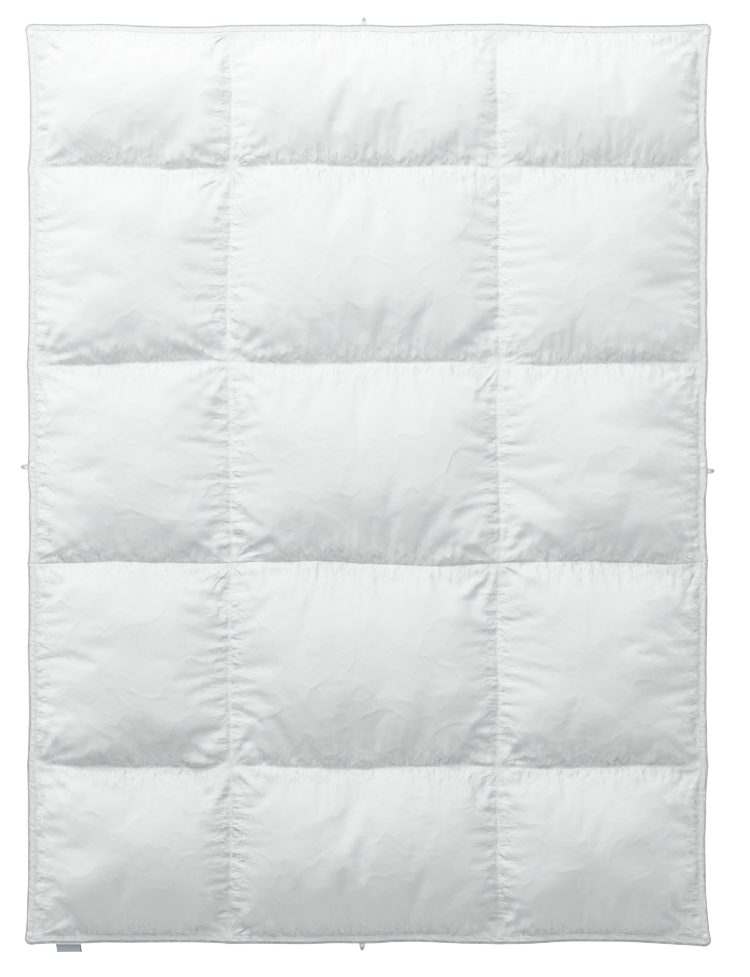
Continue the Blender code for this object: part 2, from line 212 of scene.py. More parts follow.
class Wire:
    """A shader socket that takes part in Python expressions, one Math node each."""

    def __init__(self, paint, socket):
        self.paint = paint
        self.socket = socket

    def __add__(self, other):
        return self.paint.math("ADD", self, other)

    def __radd__(self, other):
        return self.paint.math("ADD", other, self)

    def __sub__(self, other):
        return self.paint.math("SUBTRACT", self, other)

    def __rsub__(self, other):
        return self.paint.math("SUBTRACT", other, self)

    def __mul__(self, other):
        return self.paint.math("MULTIPLY", self, other)

    def __abs__(self):
        return self.paint.math("ABSOLUTE", self)


class Paint:
    """A material and the nodes that feed its Principled shader."""

    def __init__(self, name, color, roughness):
        self.material = bpy.data.materials.new(name)
        self.material.use_nodes = True
        self.nodes = self.material.node_tree.nodes
        self.links = self.material.node_tree.links
        self.shader = self.nodes["Principled BSDF"]
        self.constant("Base Color", (*color, 1.0))
        self.constant("Roughness", roughness)

    def add(self, kind, *values, out=0, **settings):
        """Add a node: its settings first, then a value or a wire for each input."""
        node = self.nodes.new(kind)
        for name, setting in settings.items():
            setattr(node, name, setting)
        for place, value in enumerate(values):
            self.feed(node.inputs[place], value)
        return Wire(self, node.outputs[out])

    def math(self, operation, *values):
        """A Math node."""
        return self.add("ShaderNodeMath", *values, operation=operation)

    def feed(self, socket, value):
        """Link a wire to a socket, or set the socket to a value."""
        if isinstance(value, Wire):
            self.links.new(value.socket, socket)
        elif value is not None:
            socket.default_value = value

    def constant(self, name, value):
        """Set one of the shader's own sockets."""
        self.shader.inputs[name].default_value = value

    def shade(self, name, wire):
        """Feed one of the shader's own sockets."""
        self.links.new(wire.socket, self.shader.inputs[name])

    def coordinates(self, scale=(1, 1, 1), turn=(0, 0, 0)):
        """Object coordinates, scaled and turned."""
        place = self.add("ShaderNodeTexCoord", out=3)
        return self.add("ShaderNodeMapping", place, (0, 0, 0), turn, scale)

    def noise(self, size, place=None, detail=2.0):
        """Noise from 0 to 1, with features of the given size in metres."""
        place = place or self.coordinates()
        return self.add("ShaderNodeTexNoise", place, None, 1 / size, detail)

    def creases(self, size, place=None, sharpness=9):
        """Sharp creases, 1 on their ridges, that wander through cloth."""
        away = abs(self.noise(size, place) - 0.5) * sharpness
        return 1 - self.math("MINIMUM", away, 1.0)

    def pleats(self, scale):
        """Small gathers about 0, drawn out long where the scale is small."""
        place = self.coordinates(scale)
        return self.creases(0.019, place, 5) * 0.7 + self.noise(0.011, place) - 0.75

    def attribute(self, name):
        """A value kept at each point of the piece."""
        return self.add("ShaderNodeAttribute", attribute_name=name, out=2)

    def fans(self):
        """Creases about 0 that run out from the corners of the pockets."""
        place = self.add("ShaderNodeAttribute", attribute_name="corner", out=1)
        place = self.add("ShaderNodeMapping", place, (0, 0, 0), (0, 0, 0), (1, 1, 5))
        return self.creases(0.62, place, 5) * 0.7 + self.noise(0.36, place) - 0.75

    def ribs(self, pitch, direction):
        """Ribs from 0 to 1, a pitch apart."""
        unscaled_pitch = 0.3142
        return self.add("ShaderNodeTexWave", self.coordinates(), unscaled_pitch / pitch,
                        0.0, 0.0, out=1, bands_direction=direction)

    def mix(self, factor, first, second):
        """A colour between two."""
        colors = (part if isinstance(part, Wire) else (*part, 1.0) for part in (first, second))
        between = (None,) * 5
        return self.add("ShaderNodeMix", factor, *between, *colors, out=2, data_type="RGBA")

    def bump(self, height, depth):
        """Feed the shader's normal from a height, 1 of which is the depth in metres."""
        self.shade("Normal", self.add("ShaderNodeBump", 1.0, depth, None, height))


def darker(color, share):
    """A colour with its light cut down to a share."""
    return tuple(part * share for part in color)


def cover_material(finish):
    """Down-proof cotton: fine weave, small crinkles, hardly any colour change."""
    paint = Paint("cover_cotton", finish.cover, 0.82)
    weave = paint.ribs(0.0011, "X") + paint.ribs(0.0011, "Y")
    slubs = paint.noise(0.006, paint.coordinates((1, 0.25, 1)))
    crinkle = paint.noise(0.016, detail=5.0)
    creases = paint.creases(0.110, sharpness=16) + paint.creases(0.050, sharpness=12) * 0.4
    gathers = paint.attribute("gather_side") * paint.pleats((0.20, 1, 1)) * 2.0
    gathers = gathers + paint.attribute("gather_end") * paint.pleats((1, 0.20, 1)) * 2.8
    gathers = gathers + paint.attribute("gather_corner") * paint.fans() * 2.5
    clouds = paint.noise(0.160)
    fine = weave * 0.02 + slubs * 0.06 + crinkle * 0.42 + creases * 0.50
    paint.bump(fine + gathers, 0.0016)
    paint.shade("Base Color", paint.mix(clouds, darker(finish.cover, 0.975), finish.cover))
    paint.shade("Roughness", 0.76 + slubs * 0.12)
    paint.constant("Sheen Weight", 0.15)
    paint.constant("Sheen Roughness", 0.5)
    return paint.material


def band_material(finish):
    """Plain tape for the band, a little greyer than the cover."""
    color = darker(finish.cover, 0.99)
    paint = Paint("band_tape", color, 0.78)
    weave = paint.ribs(0.0009, "X") + paint.ribs(0.0009, "Y")
    crinkle = paint.noise(0.007, detail=4.0)
    paint.bump(weave * 0.05 + crinkle, 0.0010)
    # painted shade: the tape is darker in the hollows of its crinkles
    paint.shade("Base Color", paint.mix(crinkle, darker(color, 0.95), color))
    paint.constant("Sheen Weight", 0.10)
    return paint.material


def piping_material(finish):
    """Bias cloth drawn tight round a cord, greyed all over with painted shade."""
    paint = Paint("piping_cloth", finish.piping, 0.70)
    wrinkle = paint.noise(0.004, detail=3.0)
    patches = paint.noise(0.050)
    paint.bump(wrinkle, 0.0004)
    # painted shade: the grey colour stands in for the shade along the piped edge, with random
    # patches darker still
    paint.shade("Base Color", paint.mix(patches, darker(finish.piping, 0.80), finish.piping))
    return paint.material


def thread_material(finish):
    """Twisted white thread."""
    paint = Paint("sewing_thread", finish.thread, 0.60)
    paint.bump(paint.ribs(0.0005, "DIAGONAL"), 0.0001)
    return paint.material


def loop_material(finish):
    """Ribbed twill tape, with painted shade that darkens the tips of the loops."""
    tip_start, steepness = 0.009, 110
    paint = Paint("twill_tape", finish.loop, 0.80)
    twill = paint.ribs(0.0010, "DIAGONAL")
    place = paint.coordinates()
    x = paint.add("ShaderNodeSeparateXYZ", place)
    y = paint.add("ShaderNodeSeparateXYZ", place, out=1)
    # painted shade: the tape darkens from a little way past the edge, for the shade in the fold
    # at each loop's tip
    outside = paint.math("MAXIMUM", abs(x) - EDGE_X, abs(y) - EDGE_Y)
    beyond = paint.math("MAXIMUM", outside - tip_start, 0.0)
    tip_shade = paint.math("MINIMUM", beyond * steepness, 1.0)
    paint.bump(twill, 0.0002)
    paint.shade("Base Color", paint.mix(tip_shade, finish.loop, darker(finish.loop, 0.50)))
    return paint.material


def label_material(finish, right):
    """Woven label tape, plain, with fine ribs and a darker strip along its right edge."""
    dark_edge_width = 0.0015
    paint = Paint("label_weave", finish.label, 0.62)
    place = paint.coordinates()
    x = paint.add("ShaderNodeSeparateXYZ", place)
    ribs = paint.ribs(0.0008, "Y")
    dark_right_edge = paint.math("GREATER_THAN", x, right - dark_edge_width)
    shade = paint.mix(ribs, darker(finish.label, 0.85), finish.label)
    shade = paint.mix(dark_right_edge, shade, darker(finish.label, 0.45))
    paint.bump(ribs, 0.0002)
    paint.shade("Base Color", shade)
    return paint.material


def stud_material(finish):
    """Moulded plastic, white and a little cloudy."""
    paint = Paint("stud_plastic", (0.88, 0.88, 0.87), 0.32)
    cloud = paint.noise(0.004)
    paint.shade("Roughness", 0.26 + cloud * 0.16)
    paint.bump(cloud, 0.00008)
    paint.constant("Subsurface Weight", 0.1)
    paint.constant("Subsurface Scale", 0.002)
    return paint.material


# Shapes that the cloth and its trims share

def wave_noise(x, y, size, seed):
    """Smooth noise of about unit height from a few waves of one size."""
    random = np.random.default_rng(seed)
    total = np.zeros_like(x)
    count = 12
    for _ in range(count):
        angle = random.uniform(0, 2 * math.pi)
        turns = 2 * math.pi / (size * random.uniform(0.75, 1.35))
        phase = random.uniform(0, 2 * math.pi)
        total += np.cos(turns * (x * math.cos(angle) + y * math.sin(angle)) + phase)
    return total / math.sqrt(count / 2)


def puff(value, edges):
    """0 on a seam and 1 in the middle of a pocket."""
    result = np.zeros_like(value)
    for low, high in zip(edges, edges[1:]):
        inside = (value > low) & (value < high)
        across = np.abs(2 * (value[inside] - low) / (high - low) - 1)
        result[inside] = (1 - across ** 2.4) ** 0.75
    return result


def smooth(value):
    """A smooth step from 0 to 1."""
    value = np.clip(value, 0, 1)
    return value * value * (3 - 2 * value)


def edge_rise(value, inner):
    """0 on the edge band and 1 well inside it."""
    return smooth((inner - np.abs(value)) / EDGE_SLOPE)


def seam_height(x, y):
    """Height of the quilted cloth along its seams, and where it laps over the band."""
    rise = edge_rise(x, INNER_X) * edge_rise(y, INNER_Y)
    sway = SEAM_SWAY * wave_noise(x, y, 0.24, 11)
    outside = np.maximum(np.abs(x) - INNER_X, np.abs(y) - INNER_Y)
    lap = (BAND_TOP + LAP_HEIGHT - EDGE_TOP) * np.clip(1 - np.abs(outside) / LAP_WIDTH, 0, 1)
    return EDGE_TOP + lap + (SEAM_Z - EDGE_TOP + sway) * rise


def underside_height(x, y, arch):
    """Height of the underside: flat on the bed, lifted along the seams and the edge."""
    reach = 0.070
    pleat, drawn_out, depth, clear = 0.026, 0.15, 0.25, 0.012
    side = np.min([np.abs(x - seam) for seam in COLUMN_SEAMS], axis=0)
    end = np.min([np.abs(y - seam) for seam in ROW_SEAMS], axis=0)
    rise = edge_rise(x, INNER_X) * edge_rise(y, INNER_Y)
    pleat_end = depth * wave_noise(x, drawn_out * y, pleat, 41) * smooth(end / clear)
    pleat_side = depth * wave_noise(drawn_out * x, y, pleat, 42) * smooth(side / clear)
    across = np.clip(1 - side / reach, 0, 1) ** 1.6 * (1 + pleat_side)
    along = np.clip(1 - end / reach, 0, 1) ** 1.6 * (1 + pleat_end)
    lift = arch * np.maximum(across, along) * rise
    outside = np.maximum(np.abs(x) - INNER_X, np.abs(y) - INNER_Y)
    return np.maximum(lift, HEM_RISE * smooth(1 + outside / 0.018))


def round_corners(x, y, radius):
    """Square corners turned into round ones: squares round each centre become rings."""
    across = np.abs(x) - (EDGE_X - radius)
    along = np.abs(y) - (EDGE_Y - radius)
    inside = (across > 0) & (along > 0)
    shrink = np.ones_like(x)
    longest = np.maximum(across[inside], along[inside])
    shrink[inside] = longest / np.hypot(across[inside], along[inside])
    across = np.where(inside, across * shrink, across)
    along = np.where(inside, along * shrink, along)
    return np.sign(x) * (across + EDGE_X - radius), np.sign(y) * (along + EDGE_Y - radius)


def calm_near_trims(x, y):
    """0 where a loop or the label is sewn in and 1 away from them."""
    calm = np.ones_like(x)
    for node, reach in TRIM_REACH.items():
        low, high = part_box(node)
        away = np.hypot(x - (low.x + high.x) / 2, y - (low.y + high.y) / 2)
        calm *= 1 - np.exp(-(away / reach) ** 4)
    return calm


def lay(x, y, cloth):
    """Where a point of the flat pattern lies once the filled pockets pull on it."""
    x, y = np.asarray(x, float), np.asarray(y, float)
    give, ear_reach = 0.09, 0.070
    flat_x, flat_y = round_corners(x, y, CORNER_RADIUS)
    near_side = smooth((np.abs(x) - INNER_X + give) / give)
    near_end = smooth((np.abs(y) - INNER_Y + give) / give)
    pull_x = -cloth.draw_in * puff(y, ROW_EDGES) ** 0.8 + cloth.draw_in * 0.5
    pull_y = -cloth.draw_in * puff(x, COLUMN_EDGES) ** 0.8 + cloth.draw_in * 0.5
    corner = np.exp(-np.hypot(EDGE_X - np.abs(x), EDGE_Y - np.abs(y)) / ear_reach)
    pull_x = pull_x * near_side + cloth.ears * corner
    pull_y = 0.7 * pull_y * near_end + 0.35 * cloth.ears * corner
    stray_x = cloth.wander * wave_noise(x, y, 0.42, 3)
    stray_x += 0.3 * cloth.wander * wave_noise(x, y, 0.12, 5)
    stray_y = cloth.wander * wave_noise(x, y, 0.38, 4)
    stray_y += 0.3 * cloth.wander * wave_noise(x, y, 0.13, 6)
    calm = calm_near_trims(x, y)
    return (flat_x + calm * (np.sign(x) * pull_x + stray_x * (1 - 0.5 * near_side)),
            flat_y + calm * (np.sign(y) * pull_y + stray_y * (1 - 0.5 * near_end)))


def grid_lines(edges, outer, step):
    """Grid lines from edge to edge, with three cells across the band at each side."""
    lines = [-outer]
    spans = [(-outer, edges[0], 3)]
    spans += [(low, high, round((high - low) / step)) for low, high in zip(edges, edges[1:])]
    spans += [(edges[-1], outer, 3)]
    for low, high, cells in spans:
        lines += [low + (high - low) * cell / cells for cell in range(1, cells + 1)]
    return np.array(lines)


def add_piece(name, mesh, material):
    """Link a finished mesh as a piece with its material."""
    piece = bpy.data.objects.new(name, mesh)
    bpy.context.scene.collection.objects.link(piece)
    mesh.materials.clear()
    mesh.materials.append(material)
    mesh.shade_smooth()
    return piece


def bend_half(piece):
    """Bake the placement of a piece of one half into its mesh.
    """
    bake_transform(piece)


def points_of(mesh):
    """A mesh's vertices as an array."""
    points = np.zeros(len(mesh.vertices) * 3, np.float32)
    mesh.vertices.foreach_get("co", points)
    return points.reshape(-1, 3)


def move_points(mesh, points):
    """Put a mesh's vertices at the points of an array."""
    mesh.vertices.foreach_set("co", points.astype(np.float32).ravel())
    mesh.update()


# Shapes made from a grid

def surface(name, across, along, place, thickness=0.0):
    """A grid moved onto place(u, v), where u and v run from 0 to 1, and thickened upward."""
    work = bmesh.new()
    bmesh.ops.create_grid(work, x_segments=across, y_segments=along, size=1)
    unit = np.array([vertex.co for vertex in work.verts])
    points = place((unit[:, 0] + 1) / 2, (unit[:, 1] + 1) / 2)
    for vertex, point in zip(work.verts, points):
        vertex.co = point
    if thickness:
        raised = bmesh.ops.extrude_face_region(work, geom=work.faces[:])["geom"]
        top = [part for part in raised if isinstance(part, bmesh.types.BMVert)]
        bmesh.ops.translate(work, vec=(0, 0, thickness), verts=top)
    bmesh.ops.remove_doubles(work, verts=work.verts, dist=1e-6)
    bmesh.ops.recalc_face_normals(work, faces=work.faces)
    mesh = bpy.data.meshes.new(name)
    work.to_mesh(mesh)
    work.free()
    return mesh


def tube(name, centres, wide, high, sides=10, squareness=1.0):
    """A tube through the centres, with closed ends and a round or flat section."""
    steps = np.gradient(centres[:, :2], axis=0)
    steps /= np.linalg.norm(steps, axis=1)[:, None]
    aside = np.stack([-steps[:, 1], steps[:, 0], np.zeros(len(steps))], 1)
    centres, aside, wide, high = (np.concatenate([part[:1], part, part[-1:]])
                                  for part in (centres, aside, wide, high))
    ends = np.ones(len(centres))
    ends[[0, -1]] = 0

    def place(u, v):
        spot = np.rint(v * (len(centres) - 1)).astype(int)
        cosine, sine = np.cos(2 * math.pi * u), np.sin(2 * math.pi * u)
        out = np.sign(cosine) * np.abs(cosine) ** squareness * (wide * ends)[spot]
        up = np.sign(sine) * np.abs(sine) ** squareness * (high * ends)[spot]
        points = centres[spot] + aside[spot] * out[:, None]
        points[:, 2] += up
        return points

    return surface(name, sides, len(centres) - 1, place)


def turned(name, profile, centre, sides=40):
    """A lathe shape from (radius, height) points, round an upright axis."""
    radii, heights = np.array(profile).T

    def place(u, v):
        spot = np.rint(v * (len(profile) - 1)).astype(int)
        turn = 2 * math.pi * u
        return np.stack([centre[0] + radii[spot] * np.cos(turn),
                         centre[1] + radii[spot] * np.sin(turn),
                         centre[2] + heights[spot]], 1)

    return surface(name, sides, len(profile) - 1, place)


def joined(name, meshes):
    """Several meshes made one."""
    work = bmesh.new()
    for part in meshes:
        work.from_mesh(part)
        bpy.data.meshes.remove(part)
    mesh = bpy.data.meshes.new(name)
    work.to_mesh(mesh)
    work.free()
    return mesh


class Rim:
    """The way round one half's rim: from the split, round its end, and back to the split."""

    def __init__(self, half, pitch, cloth):
        """Go round in cells of about the pitch."""
        self.side = HALVES[half]
        self.cloth = cloth
        leg = EDGE_Y - self.side * SPLIT_Y
        leg_cells, end_cells = round(leg / pitch), round(2 * EDGE_X / pitch)
        self.cells = 2 * leg_cells + end_cells
        self.turns = [0, leg_cells / self.cells, 1 - leg_cells / self.cells, 1]

    def pattern(self, share, depth):
        """Flat pattern points at a share of the way round and a depth in from the edge."""
        x = (EDGE_X - depth) * np.interp(share, self.turns, [-1, -1, 1, 1])
        reach = self.side * (EDGE_Y - depth) - SPLIT_Y
        return x, SPLIT_Y + reach * np.interp(share, self.turns, [0, 1, 1, 0])

    def points(self, share, depth, height):
        """The same points where they lie, at a height."""
        x, y = lay(*self.pattern(share, depth), self.cloth)
        return np.stack([x, y, height + np.zeros_like(x)], 1)

    def line(self, depth, height):
        """All the points round at one depth."""
        return self.points(np.linspace(0, 1, self.cells + 1), depth, height)


def band_height(x, y, ripple):
    """Height of the band's lower face: small puckers, flat under the studs."""
    stud_reach = 0.011
    calm = np.ones_like(x)
    for stud_x, stud_y in STUD_PLACES.values():
        calm *= 1 - np.exp(-(np.hypot(x - stud_x, y - stud_y) / stud_reach) ** 4)
    pucker = 0.5 + 0.28 * wave_noise(x, y, 0.011, 61) + 0.10 * wave_noise(x, y, 0.045, 62)
    return BAND_BOTTOM + ripple * calm * np.clip(pucker, 0, 1.4)


def thread(name, path, width):
    """A thread through the points of a path, four of them to a stitch, that dips in between.

    A width below 0 makes it dip upward, for the underside.
    """
    weave = np.tile([-0.9, 0.35, 0.5, 0.35], len(path) // 4 + 1)[:len(path)]
    centres = path.copy()
    centres[:, 2] += weave * width
    size = np.full(len(path), abs(width) / 2)
    return tube(name, centres, size, size * 0.8, sides=4)


# The quilted cloth

class Quilt:
    """The cloth grid of the whole top, flat and then filled."""

    def __init__(self, cloth):
        """Lay out the grid with lines on all the seams."""
        self.cloth = cloth
        self.columns = grid_lines(COLUMN_EDGES, EDGE_X, cloth.step)
        self.rows = grid_lines(ROW_EDGES, EDGE_Y, cloth.step)
        work = bmesh.new()
        bmesh.ops.create_grid(work, x_segments=len(self.columns) - 1,
                              y_segments=len(self.rows) - 1, size=1)
        self.mesh = bpy.data.meshes.new("quilt")
        work.to_mesh(self.mesh)
        work.free()
        unit = points_of(self.mesh)
        column = np.rint((unit[:, 0] + 1) / 2 * (len(self.columns) - 1)).astype(int)
        row = np.rint((unit[:, 1] + 1) / 2 * (len(self.rows) - 1)).astype(int)
        self.x = self.columns[column]
        self.y = self.rows[row]
        self.fixed = self.on_lines(self.x, COLUMN_EDGES, INNER_X)
        self.fixed |= self.on_lines(self.y, ROW_EDGES, INNER_Y)

    @staticmethod
    def on_lines(places, edges, inner):
        """Which vertices lie on a seam or in the flat edge band."""
        on_seam = np.isin(np.round(places, 6), np.round(edges, 6))
        return on_seam | (np.abs(places) > inner - 1e-6)

    def gathers(self, reach):
        """1 on the lengthwise and on the crosswise lines, falling to 0 away from them."""
        side = np.min([np.abs(self.x - edge) for edge in COLUMN_EDGES], axis=0)
        end = np.min([np.abs(self.y - edge) for edge in ROW_EDGES], axis=0)
        return np.exp(-(side / reach) ** 2), np.exp(-(end / reach) ** 2)

    def corners(self):
        """The way to the nearest corner of a pocket, and how strongly the cloth fans there."""
        x, y = (np.array(part).ravel() for part in np.meshgrid(COLUMN_EDGES, ROW_EDGES))
        across, along = self.x[:, None] - x, self.y[:, None] - y
        away = np.hypot(across, along)
        rows, nearest = np.arange(len(away)), away.argmin(1)
        across, along, away = (part[rows, nearest] for part in (across, along, away))
        angle = np.arctan2(along, across) + 0.10 * wave_noise(self.x, self.y, 0.10, 52)
        strength = np.random.default_rng(54).uniform(0.5, 1.4, len(x))[nearest]
        reach, clear, apart = 0.085, 0.032, 3
        corner = np.stack([np.cos(angle) + apart * nearest, np.sin(angle), away], 1)
        return corner, strength * np.exp(-(away / reach) ** 2) * smooth(away / clear)

    def corner_folds(self):
        """Long low folds that fan out from the corners of the pockets."""
        folds = np.zeros_like(self.x)
        random = np.random.default_rng(53)
        for corner_x in COLUMN_EDGES:
            for corner_y in ROW_EDGES:
                across, along = self.x - corner_x, self.y - corner_y
                away = np.hypot(across, along)
                angle = np.arctan2(along, across)
                reach = random.uniform(0.12, 0.24)
                fan = np.sin(angle * random.integers(13, 20) + random.uniform(0, 6))
                fan += np.sin(angle * random.integers(6, 11) + random.uniform(0, 6))
                near = np.exp(-((away - 0.35 * reach) / (0.5 * reach)) ** 2)
                folds += random.uniform(0.0012, 0.0032) * fan * near * np.minimum(away / 0.07, 1)
        return folds

    def start(self):
        """Lay the cloth over slack pockets, with the faint creases that folding left."""
        x, y = lay(self.x, self.y, self.cloth)
        slack_share = 0.62
        swell = puff(self.x, COLUMN_EDGES) * puff(self.y, ROW_EDGES)
        height = seam_height(self.x, self.y)
        height += slack_share * (CROWN_Z - SEAM_Z) * swell
        free = np.where(self.fixed, 0.0, 1.0)
        side, end = self.gathers(0.060)
        height += free * side * 0.0014 * wave_noise(0.3 * self.x, self.y, 0.024, 20)
        height += free * end * 0.0018 * wave_noise(self.x, 0.3 * self.y, 0.022, 21)
        height += free * swell * 0.0030 * wave_noise(self.x, self.y, 0.130, 22)
        height += free * self.corner_folds()
        move_points(self.mesh, np.stack([x, y, height], 1))

    def fill(self):
        """Blow the pockets up against their seams with spare cloth, and keep the result."""
        cloth = self.cloth
        sheet = bpy.data.objects.new("quilt_cloth", self.mesh)
        scene = bpy.context.scene
        scene.collection.objects.link(sheet)
        pins = sheet.vertex_groups.new(name="seams")
        pins.add(np.nonzero(self.fixed)[0].tolist(), 1.0, "REPLACE")
        slack = sheet.vertex_groups.new(name="slack")
        near = np.maximum(*self.gathers(0.055))
        share = np.clip(near + 0.12 * wave_noise(self.x, self.y, 0.30, 31), 0, 1)
        levels = 10
        for level in range(levels + 1):
            chosen = np.nonzero(np.rint(share * levels) == level)[0].tolist()
            slack.add(chosen, level / levels, "REPLACE")
        modifier = sheet.modifiers.new("cloth", "CLOTH")
        settings = modifier.settings
        settings.quality = 5
        settings.mass = 0.15
        settings.vertex_group_mass = "seams"
        settings.tension_stiffness = 15
        settings.compression_stiffness = 15
        settings.shear_stiffness = 5
        settings.bending_stiffness = cloth.stiffness
        settings.use_pressure = True
        settings.uniform_pressure_force = cloth.loft
        settings.vertex_group_shrink = "slack"
        settings.shrink_min = -0.6 * cloth.spare
        settings.shrink_max = -1.7 * cloth.spare
        settings.effector_weights.gravity = 0
        modifier.collision_settings.use_collision = False
        modifier.point_cache.frame_end = cloth.frames
        for number in range(1, cloth.frames + 1):
            scene.frame_set(number)
        shape = sheet.evaluated_get(bpy.context.evaluated_depsgraph_get())
        filled = bpy.data.meshes.new_from_object(shape)
        points = self.ease(filled)
        bpy.data.meshes.remove(filled)
        bpy.data.objects.remove(sheet)
        scene.frame_set(1)
        return points

    def ease(self, mesh):
        """Take out kinks of a single cell, and return the points."""
        work = bmesh.new()
        work.from_mesh(mesh)
        work.verts.ensure_lookup_table()
        free = [work.verts[place] for place in np.nonzero(~self.fixed)[0]]
        bmesh.ops.smooth_vert(work, verts=free, factor=0.35, use_axis_x=True, use_axis_y=True,
                              use_axis_z=True)
        work.to_mesh(mesh)
        work.free()
        return points_of(mesh)

    def settle(self, points):
        """Hold the tops of the pockets under the fold lines, and the cloth off the bed."""
        knee = CROWN_Z - 0.012
        room = 0.016
        over = np.maximum(points[:, 2] - knee, 0)
        points[:, 2] = np.minimum(points[:, 2], knee) + room * np.tanh(over / room)
        low = underside_height(self.x, self.y, self.cloth.arch) + LEAST_LOFT
        points[:, 2] = np.maximum(points[:, 2], low)
        return points

    def crease_of(self, first, second):
        """How sharp the edge between two pattern points is: seams, and the ends of a half."""
        line_sharpness, seam_sharpness = 1.0, 0.55
        if first == second:
            return 0.0
        if self.x[first] == self.x[second]:
            lines, place = COLUMN_EDGES, self.x[first]
        else:
            lines, place = ROW_EDGES, self.y[first]
        if min(abs(place - line) for line in lines) > 1e-6:
            return 0.0
        return line_sharpness if place in (SPLIT_Y, lines[0], lines[-1]) else seam_sharpness

    def half(self, name, points):
        """One closed half: the quilted top, the underside, and a wall between them."""
        side = HALVES[name]
        under = underside_height(self.x, self.y, self.cloth.arch)
        flat_x, flat_y = lay(self.x, self.y, self.cloth)
        work = bmesh.new()
        work.from_mesh(self.mesh)
        layer = work.verts.layers.int.new("pattern")
        for place, vertex in enumerate(work.verts):
            vertex[layer] = place
        away = [face for face in work.faces
                if side * (sum(self.y[v[layer]] for v in face.verts) / 4 - SPLIT_Y) < 0]
        bmesh.ops.delete(work, geom=away, context="FACES")
        lowered = bmesh.ops.extrude_face_region(work, geom=work.faces[:])["geom"]
        bottom = {v for v in lowered if isinstance(v, bmesh.types.BMVert)}
        for vertex in work.verts:
            place = vertex[layer]
            if vertex in bottom:
                vertex.co = (flat_x[place], flat_y[place], under[place])
            else:
                vertex.co = points[place]
        crease = work.edges.layers.float.new("crease_edge")
        for edge in work.edges:
            edge[crease] = self.crease_of(*(vertex[layer] for vertex in edge.verts))
        bmesh.ops.recalc_face_normals(work, faces=work.faces)
        mesh = bpy.data.meshes.new(f"quilt_{name}")
        pattern = np.array([vertex[layer] for vertex in work.verts])
        work.to_mesh(mesh)
        work.free()
        self.keep_gathers(mesh, pattern)
        return mesh

    def keep_gathers(self, mesh, pattern):
        """Keep, at each point of a half, what its material needs to place the gathers."""
        seam_share = 0.3
        side, end = self.gathers(0.038)
        corner, nearness = self.corners()
        for line, share in (("gather_side", side * (1 - end)), ("gather_end", end * (1 - side)),
                            ("gather_corner", nearness)):
            kept = mesh.attributes.new(line, "FLOAT", "POINT")
            share = np.where(self.fixed, seam_share * share, share)[pattern]
            kept.data.foreach_set("value", share.astype(np.float32))
        kept = mesh.attributes.new("corner", "FLOAT_VECTOR", "POINT")
        kept.data.foreach_set("vector", corner[pattern].astype(np.float32).ravel())


def nodes_like(starts):
    """The names of the frame's nodes that start with any of the words."""
    return sorted(name for name in frame["nodes"] if name.startswith(starts))


class DUVET_OT_quilt(bpy.types.Operator):
    """Make the quilted cloth in two halves that meet on a seam of the middle"""

    bl_idname = "duvet.quilt"
    bl_label = "Quilted Cloth"

    def execute(self, context):
        cloth = context.scene.duvet_cloth
        quilt = Quilt(cloth)
        quilt.start()
        points = quilt.fill()
        points = quilt.settle(points)
        material = cover_material(context.scene.duvet_finish)
        for name in HALVES:
            piece = add_piece(f"quilt_{name}", quilt.half(name, points), material)
            rounding = piece.modifiers.new("rounding", "SUBSURF")
            rounding.levels = 1
            rounding.render_levels = 1
            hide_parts(*nodes_like(CLOTH_NODES[name]))
            bend_half(piece)
        return {"FINISHED"}


class DUVET_OT_band(bpy.types.Operator):
    """Make the flat band inside the piping, in two halves"""

    bl_idname = "duvet.band"
    bl_label = "Edge Band"

    def execute(self, context):
        cloth, trim = context.scene.duvet_cloth, context.scene.duvet_trim
        material = band_material(context.scene.duvet_finish)
        width = EDGE_X - INNER_X
        margin, tuck, stray = 0.0002, 0.0010, 0.0007
        for half in HALVES:
            rim = Rim(half, 0.0018, cloth)

            def place(u, v):
                waver = stray * wave_noise(*rim.pattern(v, width), 0.020, 63)
                depth = margin + (width - tuck + waver) * u
                height = band_height(*rim.pattern(v, depth), trim.ripple)
                return rim.points(v, depth, height)

            mesh = surface(f"edge_band_{half}", 7, rim.cells, place, BAND_THICKNESS)
            piece = add_piece(f"edge_band_{half}", mesh, material)
            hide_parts(f"edge_band_{FOLDS[half]}", "edge_band_left", "edge_band_right")
            bend_half(piece)
        return {"FINISHED"}


class DUVET_OT_piping(bpy.types.Operator):
    """Make the piping cord round the edge, in two halves"""

    bl_idname = "duvet.piping"
    bl_label = "Piping"

    def execute(self, context):
        cloth = context.scene.duvet_cloth
        material = piping_material(context.scene.duvet_finish)
        radius = (PIPING_HIGH.z - PIPING_LOW.z) / 2
        depth = EDGE_X + PIPING_LOW.x + radius
        stray = 0.0001
        for half in HALVES:
            rim = Rim(half, 0.0035, cloth)
            x, y = rim.pattern(np.linspace(0, 1, rim.cells + 1), depth)
            lift = stray * wave_noise(x, y, 0.06, 71)
            centres = rim.line(depth, PIPING_LOW.z + radius + lift)
            size = radius * (1 + 0.02 * wave_noise(x, y, 0.02, 72))
            mesh = tube(f"piping_{half}", centres, size, size, sides=14)
            piece = add_piece(f"piping_{half}", mesh, material)
            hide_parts(f"piping_{FOLDS[half]}", "piping_left", "piping_right")
            bend_half(piece)
        return {"FINISHED"}


